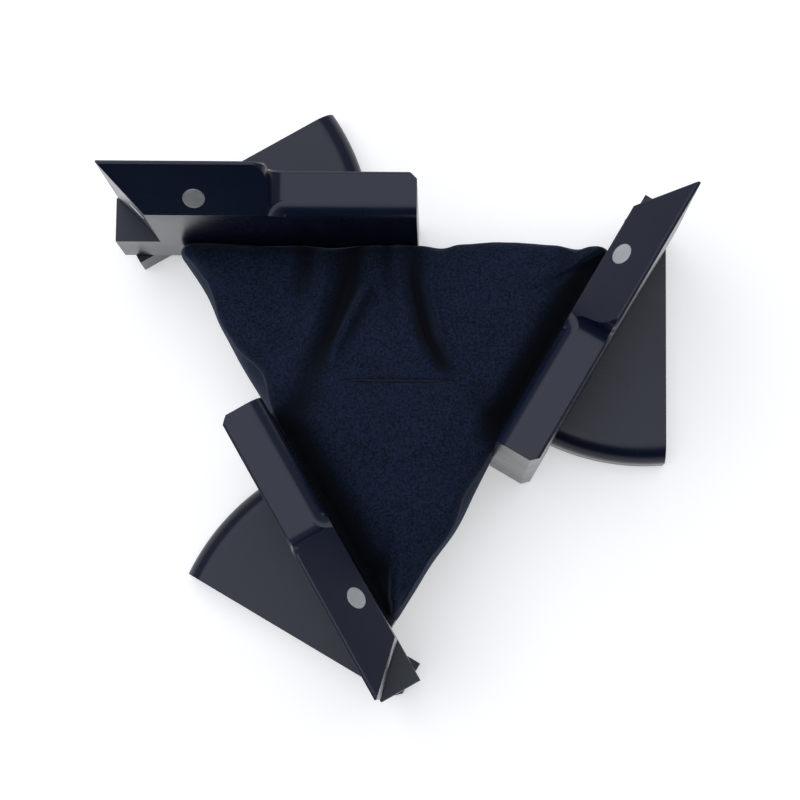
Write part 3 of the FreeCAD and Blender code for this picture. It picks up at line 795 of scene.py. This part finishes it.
    def build(self) -> list[bpy.types.Object]:
        """Make the sheet, swell, fold and press it, subdivide it once, and cut it into panels.

        Returns:
            The pieces of all the panels.
        """
        points, row_shares = self.surface()
        whole = self.sheet(points)
        shares = np.append(np.repeat(row_shares, points.shape[1]), (0, 0))
        self.swell(whole, np.flatnonzero(shares < self.lip_share))
        folded, painted_fold_shade = self.fold(self.read(whole.data), shares)
        self.write(whole.data, self.press(folded))
        # The painted shade is kept on the cloth for its colour
        whole.data.attributes.new(FOLD_SHADE, "FLOAT", "POINT").data.foreach_set("value", painted_fold_shade)
        finer = whole.modifiers.new("finer", "SUBSURF")
        finer.levels = finer.render_levels = 1
        graph = bpy.context.evaluated_depsgraph_get()
        smooth = bpy.data.meshes.new_from_object(whole.evaluated_get(graph))
        bpy.data.objects.remove(whole)
        material = BrushedSuede("microfibre_suede_brushed").material()
        panels = [piece for unit in Unit for piece in self.panel(smooth, unit, material)]
        bpy.data.meshes.remove(smooth)
        return panels

    def cut(self, whole: bpy.types.Mesh, planes: list[tuple[Vector, Vector]], name: str) -> bpy.types.Object:
        """Cut a piece out of the whole cushion and close its cut faces.

        Args:
            whole: mesh of the whole cushion.
            planes: a point of each cutting plane, and its normal towards what is cleared away.
            name: name of the piece.

        Returns:
            The piece.
        """
        piece = bmesh.new()
        piece.from_mesh(whole)
        for point, cleared in planes:
            parts = bmesh.ops.bisect_plane(piece, geom=piece.verts[:] + piece.edges[:] + piece.faces[:],
                                           plane_co=point, plane_no=cleared, clear_outer=True)
            rim = [item for item in parts["geom_cut"] if isinstance(item, bmesh.types.BMEdge)]
            for edge in rim:
                edge.smooth = False
            caps = bmesh.ops.holes_fill(piece, edges=rim, sides=0)["faces"]
            bmesh.ops.triangulate(piece, faces=caps, ngon_method="EAR_CLIP")
        for face in piece.faces:
            face.smooth = True
        mesh = bpy.data.meshes.new(name)
        piece.to_mesh(mesh)
        piece.free()
        made = bpy.data.objects.new(name, mesh)
        bpy.context.scene.collection.objects.link(made)
        LOG.info("%s: %d vertices", name, len(mesh.vertices))
        return made

    def panel(self, whole: bpy.types.Mesh, unit: Unit,
              material: bpy.types.Material) -> list[bpy.types.Object]:
        """Cut one unit's wedge into a panel and a strip in two parts, and tie them to its arm.

        The strip lies along the panel's first edge, where the leaf comes up as the box folds: its edge lies
        near the plate, and its core near the axis.

        Args:
            whole: mesh of the whole cushion.
            unit: the unit whose arm carries the panel.
            material: its cloth.

        Returns:
            The panel, the edge and the core.
        """
        name = f"cushion_panel_{unit.number}"
        middle = Vector(self.axis)
        turn = math.pi / 2 + unit.turn
        outward = Vector((math.cos(turn), math.sin(turn), 0))
        along = Vector((-outward.y, outward.x, 0))
        far = Matrix.Rotation(2 * math.pi / 3, 3, "Z") @ along
        seam = middle + along * (self.strip * MM)
        split = middle + outward * (self.strip_split * MM)
        plate = middle + outward * (self.plate_face * MM)
        inside = middle + (outward * self.core_point[0] + along * self.core_point[1]) * MM
        lean = math.radians(self.core_turn)
        slant = outward * math.cos(lean) + along * math.sin(lean)
        strip = [(middle, -along), (seam, along)]
        pieces = []
        for part, planes, axis, anchor, keep in (
                ("cloth", [(seam, -along), (middle, far)], outward, plate, self.keep),
                ("edge", [*strip, (split, -outward)], along, seam, self.strip_keep),
                ("core", [*strip, (middle, far), (split, outward)], slant, inside, self.strip_keep)):
            piece = self.cut(whole, planes, f"{name}_{part}")
            piece.data.materials.append(material)
            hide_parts(name)
            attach(piece, f"arm_{unit.number}")
            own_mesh(piece)
            pieces.append(piece)
        return pieces


@dataclass
class Studio:
    """Pale table, a soft sky that is darker towards the viewer, and one large lamp overhead.

    Lengths are in metres.  The sky is given as its strength at the zenith, at the horizon and on the viewer's
    side, with the heights and the depths of the view between which it changes.
    """

    floor_half: float = 3.0
    floor_drop: float = 0.00005
    floor_lines: int = 13
    sky_colour: str = "#f4f7ff"
    zenith: float = 0.5
    horizon: float = 0.45
    near_side: float = 0.05
    sky_rise: tuple[float, float] = (0.0, 0.95)
    near_fade: tuple[float, float] = (-0.85, -0.1)
    lamp_place: tuple[float, float, float] = (-0.22, 0.1, 1.0)
    lamp_side: float = 1.3
    lamp_watts: float = 10.5
    lamp_colour: str = "#f1f6ff"

    def floor(self) -> None:
        """Lay the table as a square grid, x and y from minus to plus its half side."""
        span = np.linspace(-self.floor_half, self.floor_half, self.floor_lines)
        x, y = np.meshgrid(span, span)
        points = np.stack([x, y, np.full_like(x, -self.floor_drop)], -1).reshape(-1, 3)
        count = len(span)
        start = (np.arange(count - 1) * count)[:, None] + np.arange(count - 1)
        faces = np.stack([start, start + 1, start + count + 1, start + count], -1).reshape(-1, 4)
        mesh = bpy.data.meshes.new("table")
        mesh.from_pydata(points.tolist(), [], faces.tolist())
        mesh.materials.append(TablePaper("paper_white_matt").material())
        table = bpy.data.objects.new("table", mesh)
        bpy.context.scene.collection.objects.link(table)

    def sky(self) -> None:
        """Light the scene from a sky that grows with height and is dimmed towards the viewer's side."""
        world = bpy.data.worlds.new("sky")
        bpy.context.scene.world = world
        world.use_nodes = True
        tree = world.node_tree
        tree.nodes.clear()
        look = add_node(tree, "ShaderNodeTexCoord").outputs["Generated"]
        split = add_node(tree, "ShaderNodeSeparateXYZ", {0: look})
        low, high = self.sky_rise
        dim, clear = self.near_fade
        height = add_node(tree, "ShaderNodeMapRange", {"Value": split.outputs["Z"], "From Min": low,
                                                       "From Max": high, "To Min": self.horizon,
                                                       "To Max": self.zenith})
        side = add_node(tree, "ShaderNodeMapRange", {"Value": split.outputs["Y"], "From Min": dim,
                                                     "From Max": clear, "To Min": self.near_side,
                                                     "To Max": 1.0})
        level = add_node(tree, "ShaderNodeMath", {0: height.outputs[0], 1: side.outputs[0]},
                         operation="MULTIPLY")
        shade = add_node(tree, "ShaderNodeBackground", {"Color": linear(self.sky_colour),
                                                        "Strength": level.outputs[0]})
        add_node(tree, "ShaderNodeOutputWorld", {"Surface": shade.outputs[0]})

    def lamp(self) -> None:
        """Hang the large lamp and aim it at the box."""
        light = bpy.data.lights.new("softbox", "AREA")
        light.shape = "SQUARE"
        light.size = self.lamp_side
        light.energy = self.lamp_watts
        light.color = linear(self.lamp_colour)[:3]
        lamp = bpy.data.objects.new("softbox", light)
        place = Vector(self.lamp_place)
        lamp.matrix_world = Matrix.Translation(place) @ (-place).to_track_quat("-Z", "Y").to_matrix().to_4x4()
        bpy.context.scene.collection.objects.link(lamp)

    def build(self) -> None:
        """Set up the table, the sky and the lamp."""
        bpy.context.scene.view_settings.view_transform = "Standard"
        self.floor()
        self.sky()
        self.lamp()


@dataclass
class Viewer:
    """Camera almost overhead, at the photograph's angle, with its directions to the right, up and back."""

    place_mm: tuple[float, float, float] = (8.7163, -55.4831, 471.2239)
    right: tuple[float, float, float] = (0.999803, 0.010981, -0.016526)
    up: tuple[float, float, float] = (-0.008918, 0.992724, 0.120077)
    back: tuple[float, float, float] = (0.017725, -0.119906, 0.992627)
    sensor_mm: float = 36.0
    focus_pixels: float = 2386.589
    image_pixels: int = 800

    def build(self) -> None:
        """Make the camera the scene's own."""
        data = bpy.data.cameras.new("viewer")
        data.sensor_width = self.sensor_mm
        data.lens = self.sensor_mm * (self.focus_pixels / self.image_pixels)
        camera = bpy.data.objects.new("viewer", data)
        turn = Matrix((self.right, self.up, self.back)).transposed().to_4x4()
        camera.matrix_world = Matrix.Translation(Vector(self.place_mm) * MM) @ turn
        bpy.context.scene.collection.objects.link(camera)
        bpy.context.scene.camera = camera


def box_axis() -> np.ndarray:
    """Where the box's axis of symmetry meets the table: the middle of its three upright pins."""
    corners = [np.array(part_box(f"upright_pin_{unit.number}")) for unit in Unit]
    middle = np.mean(corners, axis=(0, 1))
    return np.array([middle[0], middle[1], 0.0])


def main() -> None:
    """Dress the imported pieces, make the cushion, and set up the studio and the camera."""
    logging.basicConfig(level=logging.INFO, format="%(name)s: %(message)s")
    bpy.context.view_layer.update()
    RigidPieces(frame["nodes"]).dress()
    Cushion(box_axis()).build()
    Studio().build()
    Viewer().build()


if __name__ == "__main__":
    main()
